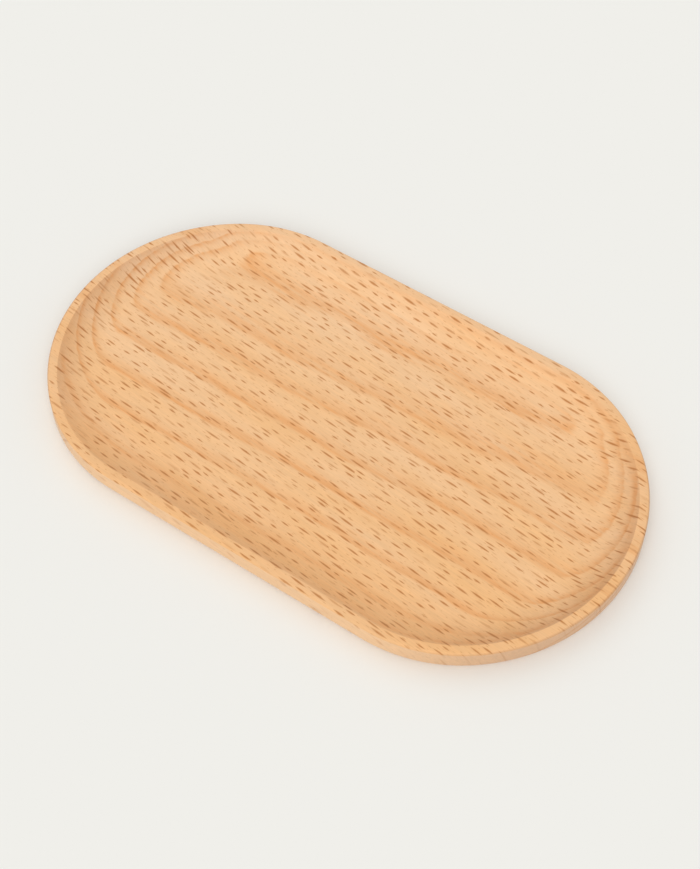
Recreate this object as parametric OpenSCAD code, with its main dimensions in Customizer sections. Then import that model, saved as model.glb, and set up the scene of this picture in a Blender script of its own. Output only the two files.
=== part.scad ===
// Oval coin tray, cut from one flat board: a wide cove joins the flat floor of a shallow well
// to a narrow rim. The tray lies on z = 0 with its middle on the Z axis and its length along X.

/* [Overall size] */
// Length over the two rounded ends
tray_l = 180; // [140:0.5:300]
// Width over the two straight sides
tray_w = 103; // [80:0.5:125]
// Height from the underside to the rim
tray_h = 7.2; // [5.5:0.1:16]

/* [Outline] */
// How much larger the end radius is than half the width: the shoulders tighten by four times this
end_flat = 1.4; // [0.1:0.1:4]

/* [Well] */
// Width of the rim, from the outline to the edge of the well
rim_w = 2.8; // [2:0.1:8]
// Depth of the well, from the rim to its flat floor
well_depth = 5; // [2:0.1:12]
// Radius of the cove that joins the floor to the rim
cove_r = 20; // [12:0.5:40]

/* [Eased edges] */
// Radius of the rim's outer edge
rim_round = 0.8; // [0.2:0.1:1.2]
// Radius of the edge between the rim and the well
lip_round = 0.4; // [0.1:0.1:0.8]
// Radius of the lower edge, all round the underside
base_round = 2.2; // [0.5:0.1:3]

/* [Hidden] */

wood = [0.93, 0.72, 0.51];
// Longest step along a curve of the outline, and steps in a full turn of the profile's circles
curve_step = 1.5;
profile_steps = 96;

// A quarter of the outline is part of an end arc, then a tighter shoulder arc, then half a side.
// The two arcs meet smoothly where the line through their centres crosses them, and those
// centres lie at two corners of a 3-4-5 triangle.
end_r = tray_w / 2 + end_flat;
end_x = tray_l / 2 - end_r;
shoulder_r = end_r - 5 * end_flat;
shoulder_x = end_x + 3 * end_flat;
shoulder_y = 4 * end_flat;

// Directions from an arc's centre: along the tray, to where the arcs meet, and across the tray.
along = [5, 0];
meeting = [3, 4];
across = [0, 5];

// In the profile, x runs inwards from the outline and y is the height above the underside.
floor_t = tray_h - well_depth;
cove_y = floor_t + cove_r;
cove_x = rim_w + sqrt(pow(cove_r, 2) - pow(cove_r - well_depth, 2));
lip_y = tray_h - lip_round;
lip_x = cove_x - sqrt(pow(cove_r + lip_round, 2) - pow(cove_y - lip_y, 2));

// The swept edge laps onto the flat floor, and the core fills the middle.
floor_lap = 1;
core_r = end_r - (base_round + cove_x) / 2;

// What rounding off a square corner at the origin takes away.
module corner_waste(r) {
    difference() {
        square(r);
        translate([r, r]) circle(r = r, $fn = profile_steps);
    }
}

// What rounding off the lip takes away: its arc runs on smoothly into the cove.
module lip_waste() {
    difference() {
        polygon([[lip_x, lip_y], [lip_x, cove_y], [cove_x, cove_y]]);
        translate([lip_x, lip_y]) circle(r = lip_round, $fn = profile_steps);
    }
}

// Section through the edge: outer face, rim, lip, cove and the start of the floor.
module edge_profile() {
    difference() {
        polygon([
            [0, 0], [0, tray_h], [cove_x, tray_h],
            [cove_x, floor_t], [cove_x + floor_lap, floor_t], [cove_x + floor_lap, 0]
        ]);
        translate([cove_x, cove_y]) circle(r = cove_r, $fn = 4 * profile_steps);
        lip_waste();
        corner_waste(base_round);
        translate([0, tray_h]) mirror([0, 1]) corner_waste(rim_round);
    }
}

// The edge swept about one arc's centre, kept between two directions from that centre.
module edge_arc(centre, radius, from, to) {
    translate(centre)
        intersection() {
            rotate_extrude($fn = ceil(2 * PI * radius / curve_step))
                translate([radius, 0]) mirror([1, 0]) edge_profile();
            linear_extrude(height = tray_h) polygon([[0, 0], radius * from, radius * to]);
        }
}

// The edge drawn straight along half of one side.
module edge_side() {
    translate([0, tray_w / 2, 0])
        rotate([90, 0, 90])
            mirror([1, 0, 0]) linear_extrude(height = shoulder_x) edge_profile();
}

module quarter_edge() {
    edge_arc([end_x, 0], end_r, along, meeting);
    edge_arc([shoulder_x, shoulder_y], shoulder_r, meeting, across);
    edge_side();
}

module floor_core() {
    for (side = [-1, 1])
        translate([side * end_x, 0, 0]) cylinder(r = core_r, h = floor_t, $fn = 180);
    translate([-end_x, -core_r, 0]) cube([2 * end_x, 2 * core_r, floor_t]);
}

module tray_body() {
    color(wood) {
        for (flip_x = [0, 1], flip_y = [0, 1])
            mirror([flip_x, 0, 0]) mirror([0, flip_y, 0]) quarter_edge();
        floor_core();
    }
}

tray_body();
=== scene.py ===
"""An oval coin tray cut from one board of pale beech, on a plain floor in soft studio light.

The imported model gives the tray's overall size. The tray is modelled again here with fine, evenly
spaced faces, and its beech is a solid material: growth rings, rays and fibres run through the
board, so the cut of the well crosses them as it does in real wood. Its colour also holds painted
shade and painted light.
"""
from math import atan2, ceil, cos, pi, radians, sin, sqrt

import bmesh
import bpy
from bpy.props import FloatProperty, FloatVectorProperty, PointerProperty
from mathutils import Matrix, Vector


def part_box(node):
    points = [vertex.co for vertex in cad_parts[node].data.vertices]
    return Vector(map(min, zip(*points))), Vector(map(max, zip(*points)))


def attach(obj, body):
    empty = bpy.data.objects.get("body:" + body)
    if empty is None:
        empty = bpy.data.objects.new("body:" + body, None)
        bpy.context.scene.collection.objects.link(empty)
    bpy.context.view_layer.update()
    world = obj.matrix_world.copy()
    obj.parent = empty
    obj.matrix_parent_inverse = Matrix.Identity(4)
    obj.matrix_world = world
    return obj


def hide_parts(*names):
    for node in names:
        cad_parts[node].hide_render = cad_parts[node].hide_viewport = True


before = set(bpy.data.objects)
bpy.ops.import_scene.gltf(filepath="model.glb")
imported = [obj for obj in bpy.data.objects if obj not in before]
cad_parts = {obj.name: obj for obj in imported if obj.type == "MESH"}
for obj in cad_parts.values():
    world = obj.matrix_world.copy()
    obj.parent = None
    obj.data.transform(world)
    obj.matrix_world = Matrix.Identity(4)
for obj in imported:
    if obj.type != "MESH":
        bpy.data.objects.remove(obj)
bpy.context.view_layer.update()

bl_info = {
    "name": "Beech Coin Tray",
    "version": (1, 0, 0),
    "blender": (4, 5, 0),
    "location": "3D View > Sidebar > Coin Tray",
    "description": "Makes an oval beech coin tray and the studio that it stands in",
    "category": "Object",
}

TRAY_NODE = "tray_body"
MM = 0.001

# Faces across each curve of the tray's section.
BASE_FACES = 10
RIM_FACES = 8
LIP_FACES = 5
COVE_FACES = 36
# A narrow flat ring ends the section at each end, so the wide flat faces are shaded evenly.
FLAT_RING = 1 * MM
# How much longer the faces are along the straight sides than round the ends.
SIDE_STRETCH = 4

# A ring is darkest just inside its edge and pale again just outside it.
DARKEST_INSIDE = 0.05 * MM
PALE_OUTSIDE = 0.2 * MM
# Above 1, a ring stays pale for longer before it darkens.
DARKENING_POWER = 1.6

# How far each row of fleck cells is shifted along, and how far their points scatter, in cells.
STAGGER = 0.5
SCATTER = 0.62
# The part of the endless mosaic that each size of fleck is taken from.
LARGE_PATCH = 40
SMALL_PATCH = 70


def length(name, description, millimetres):
    """A length, written in millimetres and kept in metres."""
    return FloatProperty(name=name, description=description, default=millimetres * MM, unit="LENGTH")


def lengths(name, description, millimetres):
    """Several lengths, written in millimetres and kept in metres."""
    return FloatVectorProperty(
        name=name,
        description=description,
        default=[value * MM for value in millimetres],
        size=len(millimetres),
        unit="LENGTH",
    )


def angle(name, description, degrees):
    """An angle, written in degrees and kept in radians."""
    return FloatProperty(name=name, description=description, default=radians(degrees), unit="ROTATION")


def number(name, description, default):
    return FloatProperty(name=name, description=description, default=default)


def numbers(name, description, defaults):
    return FloatVectorProperty(
        name=name, description=description, default=defaults, size=len(defaults)
    )


def colour(name, description, levels):
    """A colour as it is seen, written in 0 to 255 and kept in linear light."""
    return FloatVectorProperty(
        name=name,
        description=description,
        default=[to_linear(level / 255) for level in levels],
        size=len(levels),
        subtype="COLOR",
    )


def to_linear(level):
    """A level of 0 to 1 as a screen shows it, in linear light."""
    return level / 12.92 if level <= 0.04045 else ((level + 0.055) / 1.055) ** 2.4


class TrayShape(bpy.types.PropertyGroup):
    """Sizes of the tray that its overall box doesn't give."""

    end_flat: length("End flatness", "How much larger the end radius is than half the width", 1.4)
    rim_width: length("Rim width", "From the outline to the edge of the well", 2.8)
    well_depth: length("Well depth", "From the rim to the flat floor", 5)
    cove_radius: length("Cove radius", "Radius of the curve from the floor to the rim", 20)
    rim_round: length("Rim round", "Radius of the rim's outer edge", 0.8)
    lip_round: length("Lip round", "Radius of the edge between rim and well", 0.4)
    base_round: length("Base round", "Radius of the lower edge", 2.2)
    step: length("Step", "Longest step round the ends of the outline", 1)


class Beech(bpy.types.PropertyGroup):
    """Colours and sizes of the wood's figure."""

    # Pale wood is also the tone of the painted light on the outer walls, and Golden wood the tone of the
    # painted shade towards the right and the near side.
    pale: colour("Pale wood", "The palest wood at the start of a ring", (240, 196, 149))
    golden: colour("Golden wood", "The deepest wood at the start of a ring", (238, 184, 124))
    # Late wood is also the colour of the painted shade on the near cove and under the lip.
    late_and_painted_shade: colour("Late wood", "Tan wood at the end of a ring", (228, 164, 102))
    fleck: colour("Flecks", "Rays cut across, on the broad faces", (188, 120, 55))
    end_grain: colour("End grain", "Tint of the wood where the fibres are cut across", (226, 222, 225))

    slope: angle("Fibre slope", "Turn of the fibres from the length of the tray", -5.5)
    pith_across: length("Pith across", "How far the rings' centre lies across the tray", 52)
    pith_depth: length("Pith depth", "How far the rings' centre lies below the underside", 303)
    ring_edges: lengths(
        "Ring edges",
        "Height of each ring's outer edge over the middle of the underside",
        (-4.0, -1.62, 0.0, 1.5, 3.45, 5.85, 8.4),
    )
    ring_depths: numbers(
        "Ring depths",
        "How dark each ring grows at its outer edge, from 0 to 1",
        (0.5, 0.8, 0.78, 0.85, 0.9, 0.95, 0.9),
    )
    late_width: length("Late wood width", "Over which a ring darkens", 1.05)

    large_cell: lengths("Large fleck cell", "Spacing of the flecks along and across the fibres", (7.4, 1.52))
    large_lengths: lengths("Large fleck lengths", "The shortest and the longest", (2.7, 7.4))
    large_widths: lengths("Large fleck widths", "The narrowest and the widest", (0.48, 1.0))
    large_depth: number("Large fleck depth", "How dark the large flecks are", 0.98)
    small_cell: lengths("Small fleck cell", "Spacing of the flecks along and across the fibres", (4.1, 0.9))
    small_lengths: lengths("Small fleck lengths", "The shortest and the longest", (0.8, 2.2))
    small_widths: lengths("Small fleck widths", "The narrowest and the widest", (0.2, 0.36))
    small_depth: number("Small fleck depth", "How dark the small flecks are", 0.5)

    fibre_contrast: number("Fibre contrast", "How much the fine fibres vary in tone", 0.24)
    streak_contrast: number("Streak contrast", "How much the long streaks vary in tone", 0.14)
    fibre_relief: length("Fibre relief", "Height of the fibres' relief", 0.05)
    fleck_relief: length("Fleck relief", "How far the large flecks are sunk", 0.02)
    roughness: number("Roughness", "How matt the sanded wood is, from 0 to 1", 0.58)
    sheen: number("Sheen", "Soft light off the wood when it is seen at a slant", 0.1)


class Studio(bpy.types.PropertyGroup):
    """The floor, the light and the camera."""

    floor: colour("Floor", "Colour of the floor and of the backdrop", (240, 239, 234))
    floor_reach: length("Floor reach", "From the tray to the edge of the floor", 3000)
    sun: number("Sun", "Strength of a sun whose direction is 1 long; a longer one is brighter", 3.14)
    sun_spread: angle("Sun spread", "Width of each sun, which softens its shadow", 50)
    key_direction: numbers("Key direction", "Towards the sun in front", (0.14, -0.24, 0.3))
    back_direction: numbers("Back direction", "Towards the sun behind", (-0.07, 0.04, 0.1))
    fill: number("Fill light", "Strength of the light all round", 0.6)
    aim: lengths("Aim", "The point on the floor that the camera looks at", (2.1, 1.4, 0))
    distance: length("Camera distance", "From the camera to its aim", 479)
    azimuth: angle("Azimuth", "Camera's way round the tray", 34.14)
    elevation: angle("Elevation", "Camera's height over the floor", 54.54)
    lens: FloatProperty(name="Lens", description="Focal length in millimetres", default=70.5, unit="CAMERA")


class Value:
    """An output socket in a material's nodes. Arithmetic on it adds Math nodes."""

    def __init__(self, nodes, socket):
        self.nodes = nodes
        self.socket = socket

    def other(self, name):
        """Another output of the same node."""
        return Value(self.nodes, self.socket.node.outputs[name])

    def maths(self, operation, *operands):
        return self.nodes.add("ShaderNodeMath", {"operation": operation}, dict(enumerate(operands)))

    def __add__(self, other):
        return self.maths("ADD", self, other)

    def __radd__(self, other):
        return self.maths("ADD", other, self)

    def __sub__(self, other):
        return self.maths("SUBTRACT", self, other)

    def __rsub__(self, other):
        return self.maths("SUBTRACT", other, self)

    def __mul__(self, other):
        return self.maths("MULTIPLY", self, other)

    def __rmul__(self, other):
        return self.maths("MULTIPLY", other, self)

    def __truediv__(self, other):
        return self.maths("DIVIDE", self, other)

    def __pow__(self, other):
        return self.maths("POWER", self, other)

    def __abs__(self):
        return self.maths("ABSOLUTE", self)


class Nodes:
    """The node tree of a material or a world, built up by expressions."""

    def __init__(self, owner):
        self.owner = owner
        owner.use_nodes = True
        self.tree = owner.node_tree
        self.tree.nodes.clear()

    def add(self, kind, settings=None, inputs=None):
        """Adds a node, sets it up, fills its sockets and gives its first output as a Value."""
        node = self.tree.nodes.new(kind)
        for name, setting in (settings or {}).items():
            setattr(node, name, setting)
        for name, value in (inputs or {}).items():
            if isinstance(value, Value):
                self.tree.links.new(value.socket, node.inputs[name])
            else:
                node.inputs[name].default_value = value
        return Value(self, node.outputs[0]) if node.outputs else None

    def split(self, vector):
        """The three components of a vector or a colour."""
        first = self.add("ShaderNodeSeparateXYZ", None, {0: vector})
        return first, first.other(1), first.other(2)

    def join(self, x, y, z=0.0):
        return self.add("ShaderNodeCombineXYZ", None, {0: x, 1: y, 2: z})

    def mix(self, factor, first, second, blend="MIX"):
        """Blends two colours."""
        settings = {"data_type": "RGBA", "blend_type": blend}
        return self.add("ShaderNodeMix", settings, {0: factor, 6: first, 7: second}).other(2)

    def scale(self, vector, factor):
        """Multiplies a colour or a vector by a number."""
        inputs = {"Vector": vector, "Scale": factor}
        return self.add("ShaderNodeVectorMath", {"operation": "SCALE"}, inputs)

    def fade(self, value, low, high):
        """Rises smoothly from 0 at low to 1 at high."""
        inputs = {"Value": value, "From Min": low, "From Max": high}
        return self.add("ShaderNodeMapRange", {"interpolation_type": "SMOOTHSTEP"}, inputs)

    def curve(self, value, points):
        """A curve of straight lines through points, each a pair of a value and a level of 0 to 1."""
        low = points[0][0]
        span = points[-1][0] - low
        levels = self.add("ShaderNodeValToRGB", None, {"Fac": (value - low) / span})
        stops = levels.socket.node.color_ramp.elements
        stops.remove(stops[-1])
        stops[0].position = 0
        stops[0].color = rgba([points[0][1]] * 3)
        for position, level in points[1:]:
            stops.new((position - low) / span).color = rgba([level] * 3)
        return self.add("ShaderNodeRGBToBW", None, {0: levels})

    def noise(self, place, size, detail=1):
        """Cloudy noise from about -0.25 to 0.25, its lumps sized in millimetres in each direction."""
        x, y, z = (part / (extent * MM) for part, extent in zip(place, size))
        inputs = {"Vector": self.join(x, y, z), "Scale": 1.0, "Detail": detail}
        return self.add("ShaderNodeTexNoise", None, inputs) - 0.5

    def finish(self, surface, output="ShaderNodeOutputMaterial"):
        """Joins the surface to the output and gives the material or world."""
        self.add(output, None, {"Surface": surface})
        return self.owner


def rgba(values):
    return (*values, 1.0)


def between(share, low, high):
    """The value that lies a share of the way from low to high."""
    return low + share * (high - low)


class Board:
    """Where a point of the tray lies in the board that it was cut from, and how it faces.

    Height is counted outwards from the pith, with 0 at the middle of the underside. Along and
    across follow the fibres and the rings.
    """

    def __init__(self, nodes, beech):
        coordinates = nodes.add("ShaderNodeTexCoord")
        self.x, self.y, self.z = nodes.split(coordinates.other("Object"))
        normal_x, normal_y, normal_z = nodes.split(coordinates.other("Normal"))

        beside_pith = self.y - beech.pith_across
        over_pith = self.z + beech.pith_depth
        pith_to_middle = sqrt(beech.pith_across ** 2 + beech.pith_depth ** 2)
        round_pith = beside_pith / over_pith * beech.pith_depth
        fibre_x, fibre_y = cos(beech.slope), sin(beech.slope)

        self.height = (beside_pith * beside_pith + over_pith * over_pith) ** 0.5 - pith_to_middle
        self.along = self.x * fibre_x + self.y * fibre_y
        self.across = round_pith * fibre_x - self.x * fibre_y
        self.place = (self.along, self.across, self.height)
        self.upward = nodes.fade(normal_z, 0.1, 0.6)
        self.end_on = nodes.fade(abs(normal_x * fibre_x + normal_y * fibre_y), 0.1, 0.9)
        self.rim = nodes.fade(self.z, 6 * MM, 7.1 * MM)


def late_wood(nodes, beech, height):
    """How dark the rings are at a height: each darkens slowly outwards, then ends at a sharp edge."""
    points = []
    for edge, depth in zip(beech.ring_edges, beech.ring_depths):
        points.append((edge - beech.late_width, 0.0))
        points.append((edge - DARKEST_INSIDE, depth))
        points.append((edge + PALE_OUTSIDE, 0.0))
    return nodes.curve(height, points) ** DARKENING_POWER


def growth_rings(nodes, beech, board):
    """The rings as they run in this board. They aren't level: they lean, dip and waver.

    They climb and fall by slopes that differ between the board's lower and upper rings.
    """
    climb = 0.0048 * nodes.fade(board.height, -1.9 * MM, -0.8 * MM)
    fall = 0.0065 * nodes.fade(board.height, -1 * MM, 6.5 * MM)
    lean = board.x * (climb - fall)
    far_dip = 0.8 * MM * nodes.fade(board.y, 34 * MM, 40 * MM)
    sway = 0.8 * MM * nodes.noise(board.place, (40, 22, 18))
    feather = 0.35 * MM * nodes.noise(board.place, (9, 1.4, 3))
    rings = late_wood(nodes, beech, board.height + lean - far_dip + sway + feather)
    far_pallor = 0.6 * nodes.fade(board.y, 37 * MM, 43 * MM)
    rim_pallor = 0.5 * board.rim
    return rings * (1 - far_pallor) * (1 - rim_pallor)


def tan_band_and_painted_shade(nodes, board):
    """A broad tan band outside the last ring along the near side, partly the wood's own tone and partly
    painted shade on the near cove, and painted shade just under the lip at the right.
    """
    # Partly a tan ring in the wood and partly painted shade on the near cove.
    near_tan_and_shade = (
        0.15 * nodes.fade(board.height, 8.5 * MM, 11 * MM)
        + 0.45 * nodes.fade(board.height, 10.6 * MM, 11.8 * MM)
        - 0.32 * nodes.fade(board.height, 12.1 * MM, 12.6 * MM)
    )
    # Painted shade: a darkening just under the lip, growing towards the right.
    painted_lip_shade = 0.35 * nodes.fade(board.z, 5 * MM, 6.4 * MM) * nodes.fade(board.x, 0, 60 * MM)
    return near_tan_and_shade + painted_lip_shade


def early_wood_and_painted_shading(nodes, beech, board):
    """Wood at the start of a ring, its tone drifting at random, with painted shade and painted light: deeper
    golden towards the right and the near side is painted shade, and the paler outer walls are painted light.
    """
    drift = nodes.noise(board.place, (50, 9, 12), detail=2)
    # Painted shade: more golden towards the right and the near side, where the coves face away from the
    # light. Painted light: less golden, so paler, on the outer walls.
    golden = 0.5 + 1.6 * drift + 1.5 * board.x - 6 * board.y - (1 - board.upward)
    return nodes.mix(golden, rgba(beech.pale), rgba(beech.golden))


def ray_flecks(nodes, along, across, cell, length_range, width_range, patch):
    """Spindle-shaped marks of random length, width and darkness, one to each cell of a mosaic."""
    v = across / cell[1] + patch
    u = along / cell[0] + v * STAGGER
    settings = {"voronoi_dimensions": "2D"}
    inputs = {"Vector": nodes.join(u, v), "Scale": 1.0, "Randomness": SCATTER}
    mosaic = nodes.add("ShaderNodeTexVoronoi", settings, inputs)
    centre_u, centre_v, _ = nodes.split(mosaic.other("Position"))
    size, extra_width, darkness = nodes.split(mosaic.other("Color"))

    # A longer fleck tends to be wider too.
    half_length = between(size * size, *length_range) / 2
    half_width = between(0.6 * size + 0.4 * extra_width, *width_range) / 2
    off_centre = v - centre_v
    lengthwise = (u - centre_u - off_centre * STAGGER) * cell[0] / half_length
    sideways = abs(off_centre) * cell[1] / half_width
    soft_spindle = nodes.fade(1 - lengthwise * lengthwise - sideways, 0, 0.85)
    depth = nodes.fade(darkness, -0.35, 0.8)
    return soft_spindle * depth


def beech_material(beech):
    """Solid beech: rings round a far pith, rays as flecks and fine fibres along the board, with painted
    shade and painted light in its colour.
    """
    nodes = Nodes(bpy.data.materials.new("beech"))
    board = Board(nodes, beech)
    fibres = nodes.noise(board.place, (6, 0.4, 0.7), detail=2)
    streaks = nodes.noise(board.place, (24, 1.3, 2), detail=2)

    rim_tan = 0.16
    tan_and_painted_shade = between(board.rim, tan_band_and_painted_shade(nodes, board), rim_tan)
    # Painted shade on the near cove and under the lip darkens the wood here towards the late wood colour, on
    # faces that look up.
    late_and_painted_shade = (growth_rings(nodes, beech, board) + tan_and_painted_shade * board.upward) * (1 + 3 * streaks)
    wood = nodes.mix(late_and_painted_shade, early_wood_and_painted_shading(nodes, beech, board), rgba(beech.late_and_painted_shade))
    wood = nodes.scale(wood, 1 + beech.fibre_contrast * fibres + beech.streak_contrast * streaks)

    along = board.along
    across = board.across + 0.9 * MM * nodes.noise(board.place, (16, 6, 40))
    large = ray_flecks(
        nodes, along, across, beech.large_cell, beech.large_lengths, beech.large_widths, LARGE_PATCH
    )
    small = ray_flecks(
        nodes, along, across, beech.small_cell, beech.small_lengths, beech.small_widths, SMALL_PATCH
    )
    flecks = beech.large_depth * large + beech.small_depth * small
    wall_share = 0.35
    wood = nodes.mix(flecks * between(board.upward, wall_share, 1), wood, rgba(beech.fleck))
    wood = nodes.mix(board.end_on, wood, rgba(beech.end_grain), "MULTIPLY")

    relief = beech.fibre_relief * fibres - beech.fleck_relief * large
    normal = nodes.add("ShaderNodeBump", None, {"Strength": 0.6, "Distance": 1.0, "Height": relief})
    inputs = {
        "Base Color": wood,
        "Roughness": beech.roughness + 0.2 * fibres,
        "Sheen Weight": beech.sheen,
        "Normal": normal,
    }
    return nodes.finish(nodes.add("ShaderNodeBsdfPrincipled", None, inputs))


def arc(centre, radius, start, end, faces):
    """Points on an arc, both ends included, with angles in radians."""
    turns = [start + (end - start) * i / faces for i in range(faces + 1)]
    return [(centre[0] + radius * cos(turn), centre[1] + radius * sin(turn)) for turn in turns]


def edge_profile(shape, height):
    """Section from the underside, out round the edge, over the rim and down the cove.

    Each point is how far in from the outline it lies, and how high.
    """
    base, rim, lip, cove = shape.base_round, shape.rim_round, shape.lip_round, shape.cove_radius
    floor = height - shape.well_depth
    cove_in = shape.rim_width + sqrt(cove ** 2 - (cove - shape.well_depth) ** 2)
    cove_centre = (cove_in, floor + cove)
    lip_drop = cove_centre[1] - (height - lip)
    lip_centre = (cove_in - sqrt((cove + lip) ** 2 - lip_drop ** 2), height - lip)
    meet = atan2(lip_drop, cove_in - lip_centre[0])
    return (
        [(base + FLAT_RING, 0)]
        + arc((base, base), base, 1.5 * pi, pi, BASE_FACES)
        + arc((rim, height - rim), rim, pi, 0.5 * pi, RIM_FACES)
        + arc(lip_centre, lip, 0.5 * pi, meet, LIP_FACES)
        + arc(cove_centre, cove, pi + meet, 1.5 * pi, COVE_FACES)[1:]
        + [(cove_in + FLAT_RING, floor)]
    )


def mirrored(points, flip_x, flip_y):
    """The points and their directions flipped, in reversed order, so that they run on round the tray."""
    flip = Vector((flip_x, flip_y))
    return [(point * flip, away * flip) for point, away in reversed(points)]


def outline(shape, size):
    """Points round the tray, each with the outward direction there.

    An end arc and a tighter shoulder arc lead to each straight side. They meet on the line
    through their centres, which lie at two corners of a 3-4-5 triangle.
    """
    end_radius = size.y / 2 + shape.end_flat
    end_centre = Vector((size.x / 2 - end_radius, 0))
    shoulder_radius = end_radius - 5 * shape.end_flat
    shoulder_centre = end_centre + Vector((3, 4)) * shape.end_flat
    meet = atan2(4, 3)
    outward = Vector((0, 1))

    points = []
    arcs = ((end_centre, end_radius, 0, meet), (shoulder_centre, shoulder_radius, meet, pi / 2))
    for centre, radius, start, end in arcs:
        count = ceil((end - start) * radius / shape.step)
        for i in range(count):
            turn = start + (end - start) * i / count
            away = Vector((cos(turn), sin(turn)))
            points.append((centre + away * radius, away))
    count = ceil(shoulder_centre.x / (SIDE_STRETCH * shape.step))
    for i in range(count):
        points.append((Vector((shoulder_centre.x * (1 - i / count), size.y / 2)), outward))

    middle = [(Vector((0, size.y / 2)), outward)]
    upper = points + middle + mirrored(points, -1, 1)
    return upper + mirrored(upper[1:-1], 1, -1)


def tray_mesh(shape, size):
    """The tray as rings of faces that follow the outline.

    Strips of faces across it close the floor and the underside. A strip's end faces are triangles.
    """
    shaper = bmesh.new()
    track = outline(shape, size)
    rings = []
    for inwards, up in edge_profile(shape, size.z):
        spots = [point - away * inwards for point, away in track]
        rings.append([shaper.verts.new((spot.x, spot.y, up)) for spot in spots])
    for lower, upper in zip(rings, rings[1:]):
        for i in range(len(track)):
            j = (i + 1) % len(track)
            shaper.faces.new((lower[i], lower[j], upper[j], upper[i]))
    for ring, order in ((rings[0], -1), (rings[-1], 1)):
        for i in range(len(track) // 2):
            corners = dict.fromkeys((ring[i], ring[i + 1], ring[-i - 1], ring[-i]))
            shaper.faces.new(list(corners)[::order])
    for face in shaper.faces:
        face.smooth = True
    mesh = bpy.data.meshes.new("oval_tray")
    shaper.to_mesh(mesh)
    shaper.free()
    return mesh


class COINTRAY_OT_make_body(bpy.types.Operator):
    """Models the tray and gives it its beech"""

    bl_idname = "coin_tray.make_body"
    bl_label = "Tray"

    def execute(self, context):
        scene = context.scene
        low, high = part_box(TRAY_NODE)
        tray = bpy.data.objects.new("oval_tray", tray_mesh(scene.tray_shape, high - low))
        scene.collection.objects.link(tray)
        tray.data.materials.append(beech_material(scene.beech))
        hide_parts(TRAY_NODE)
        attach(tray, "root")
        return {"FINISHED"}


class COINTRAY_OT_make_studio(bpy.types.Operator):
    """Adds the floor, the light and the camera"""

    bl_idname = "coin_tray.make_studio"
    bl_label = "Studio"

    def execute(self, context):
        scene = context.scene
        make_floor(scene, scene.studio)
        make_light(scene, scene.studio)
        make_camera(scene, scene.studio)
        scene.view_settings.view_transform = "Standard"
        return {"FINISHED"}


def make_floor(scene, studio):
    """A matt floor, wide enough to fill the view."""
    reach = studio.floor_reach
    corners = [(-reach, -reach, 0), (reach, -reach, 0), (reach, reach, 0), (-reach, reach, 0)]
    mesh = bpy.data.meshes.new("floor")
    mesh.from_pydata(corners, [], [(0, 1, 2, 3)])
    floor = bpy.data.objects.new("floor", mesh)
    scene.collection.objects.link(floor)
    nodes = Nodes(bpy.data.materials.new("floor"))
    shader = nodes.add("ShaderNodeBsdfDiffuse", None, {"Color": rgba(studio.floor)})
    mesh.materials.append(nodes.finish(shader))


def make_light(scene, studio):
    """Even light all round, a broad key from the front and a weaker one from behind."""
    nodes = Nodes(bpy.data.worlds.new("studio"))
    ray = nodes.add("ShaderNodeLightPath")
    seen = ray.other("Is Camera Ray") + ray.other("Is Glossy Ray") + ray.other("Is Transmission Ray")
    light = nodes.add("ShaderNodeBackground", None, {"Color": (1, 1, 1, 1), "Strength": studio.fill})
    backdrop = nodes.add("ShaderNodeBackground", None, {"Color": rgba(studio.floor), "Strength": 1.0})
    surface = nodes.add("ShaderNodeMixShader", None, {0: seen, 1: light, 2: backdrop})
    scene.world = nodes.finish(surface, "ShaderNodeOutputWorld")
    for name, towards in (("key", studio.key_direction), ("back", studio.back_direction)):
        direction = Vector(towards)
        sun = bpy.data.lights.new(name, "SUN")
        sun.energy = studio.sun * direction.length
        sun.angle = studio.sun_spread
        lamp = bpy.data.objects.new(name, sun)
        lamp.rotation_euler = direction.to_track_quat("Z", "Y").to_euler()
        scene.collection.objects.link(lamp)


def make_camera(scene, studio):
    turn, lift = studio.azimuth, studio.elevation
    back = Vector((sin(turn) * cos(lift), -cos(turn) * cos(lift), sin(lift)))
    camera = bpy.data.objects.new("camera", bpy.data.cameras.new("camera"))
    camera.data.lens = studio.lens
    camera.location = Vector(studio.aim) + back * studio.distance
    camera.rotation_euler = back.to_track_quat("Z", "Y").to_euler()
    scene.collection.objects.link(camera)
    scene.camera = camera


class COINTRAY_PT_panel(bpy.types.Panel):
    """Shows every size, colour and light, with a button for the tray and one for the studio"""

    bl_label = "Coin Tray"
    bl_idname = "COINTRAY_PT_panel"
    bl_space_type = "VIEW_3D"
    bl_region_type = "UI"
    bl_category = "Coin Tray"

    def draw(self, context):
        layout = self.layout
        for group in (context.scene.tray_shape, context.scene.beech, context.scene.studio):
            box = layout.box()
            for name in group.__annotations__:
                box.prop(group, name)
        layout.operator(COINTRAY_OT_make_body.bl_idname)
        layout.operator(COINTRAY_OT_make_studio.bl_idname)


CLASSES = (
    TrayShape,
    Beech,
    Studio,
    COINTRAY_OT_make_body,
    COINTRAY_OT_make_studio,
    COINTRAY_PT_panel,
)


def register():
    for each in CLASSES:
        bpy.utils.register_class(each)
    bpy.types.Scene.tray_shape = PointerProperty(type=TrayShape)
    bpy.types.Scene.beech = PointerProperty(type=Beech)
    bpy.types.Scene.studio = PointerProperty(type=Studio)


def unregister():
    del bpy.types.Scene.studio
    del bpy.types.Scene.beech
    del bpy.types.Scene.tray_shape
    for each in reversed(CLASSES):
        bpy.utils.unregister_class(each)


def main():
    register()
    bpy.ops.coin_tray.make_body()
    bpy.ops.coin_tray.make_studio()


if __name__ == "__main__":
    main()
